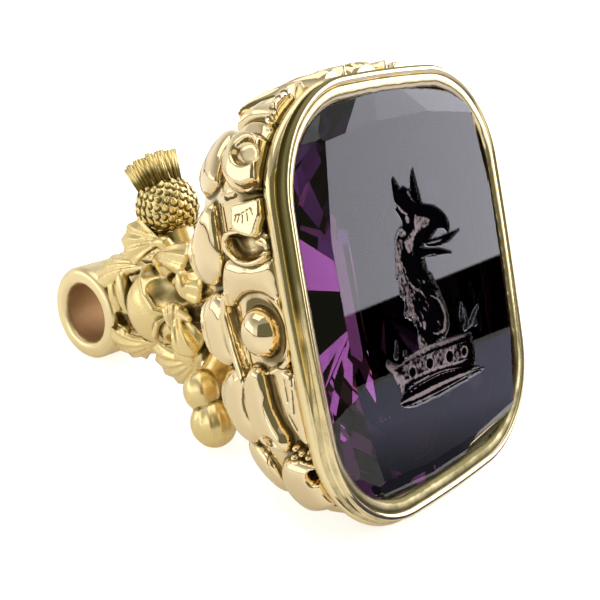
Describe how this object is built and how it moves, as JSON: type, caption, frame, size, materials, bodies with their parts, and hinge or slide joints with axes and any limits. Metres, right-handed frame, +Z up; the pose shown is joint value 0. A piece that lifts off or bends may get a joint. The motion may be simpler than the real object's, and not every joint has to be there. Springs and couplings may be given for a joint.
{
  "type": "fob seal",
  "caption": "Fob seal with an engraved cushion-cut stone in a moulded bezel, a pierced scrolled case, a cast floral handle and a fixed barrel ring.",
  "frame": {"origin": "middle of the object's footprint box at the floor", "axes": "+X across the seal's face, +Y from the face towards the suspension ring, +Z up; the seal lies on its side on the lower edge of its bezel and on its ring"},
  "size_m": [0.024, 0.0382, 0.0265],
  "materials": {
    "amethyst": "polished facets, frosted in the engraving",
    "polished_gold": "bright polished yellow gold, darker in the recesses",
    "satin_gold": "softly worn cast yellow gold"
  },
  "bodies": {
    "root": {"stone": "amethyst", "bezel": "polished_gold", "case": "polished_gold", "handle": "satin_gold", "suspension_ring": "satin_gold"}
  },
  "joints": []
}
